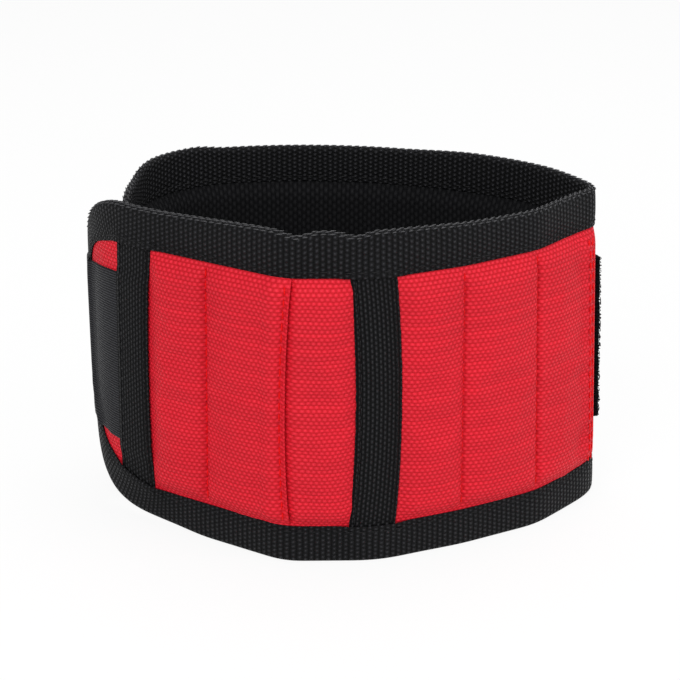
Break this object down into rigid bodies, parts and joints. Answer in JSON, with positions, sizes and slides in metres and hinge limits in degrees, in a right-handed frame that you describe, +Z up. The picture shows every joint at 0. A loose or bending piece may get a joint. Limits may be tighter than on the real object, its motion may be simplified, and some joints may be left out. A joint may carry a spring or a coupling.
{
  "type": "magnetic wristband",
  "caption": "Padded fabric wristband with magnet pockets, bound edges, webbing strips and a hook-and-loop strap that closes it into a loop.",
  "frame": {"origin": "under the middle of the closed band's bounding box, on the surface that it stands on", "axes": "+Z up along the band's width, +X along the loop's longer way, -Y out of the magnet panel"},
  "size_m": [0.1428, 0.0922, 0.088],
  "materials": {
    "oxford_cloth": "coarse woven polyester, slight sheen",
    "edge_tape": "woven tape with a small grain",
    "spacer_mesh": "open spacer mesh",
    "foam": "soft open-cell foam",
    "backing_felt": "needled felt",
    "webbing": "flat woven webbing",
    "strap_tape": "finely ribbed nylon tape",
    "hook_field": "moulded nylon hooks",
    "loop_pile": "brushed loop pile",
    "magnet": "nickel plated"
  },
  "bodies": {
    "front": {"front_cover": "oxford_cloth", "front_binding": "edge_tape", "front_lining": "spacer_mesh", "front_padding": "foam", "magnet_backing": "backing_felt", "centre_strip": "webbing", "end_strip": "webbing", "strap_anchor": "strap_tape", "magnet_1_1": "magnet", "magnet_1_2": "magnet", "magnet_1_3": "magnet", "magnet_2_1": "magnet", "magnet_2_2": "magnet", "magnet_2_3": "magnet", "magnet_3_1": "magnet", "magnet_3_2": "magnet", "magnet_3_3": "magnet", "magnet_4_1": "magnet", "magnet_4_2": "magnet", "magnet_4_3": "magnet", "magnet_5_1": "magnet", "magnet_5_2": "magnet", "magnet_5_3": "magnet", "magnet_6_1": "magnet", "magnet_6_2": "magnet", "magnet_6_3": "magnet"},
    "back": {"back_cover": "oxford_cloth", "back_binding": "edge_tape", "back_lining": "spacer_mesh", "back_padding": "foam", "loop_patch": "loop_pile"},
    "strap": {"strap_tape": "strap_tape", "hook_field": "hook_field"}
  },
  "joints": [
    {"name": "band_open", "type": "hinge", "parent": "front", "child": "back", "pos_m": [0.07171, 0.00092, 0.044], "axis": [0, 0, -1], "range_deg": [0, 50]},
    {"name": "strap_peel", "type": "hinge", "parent": "front", "child": "strap", "pos_m": [-0.0718, 0.00607, 0.044], "axis": [0, 0, 1], "range_deg": [0, 150]}
  ],
  "couplings": [
    {"joint": "strap_peel", "follows": "band_open", "ratio": 3}
  ]
}
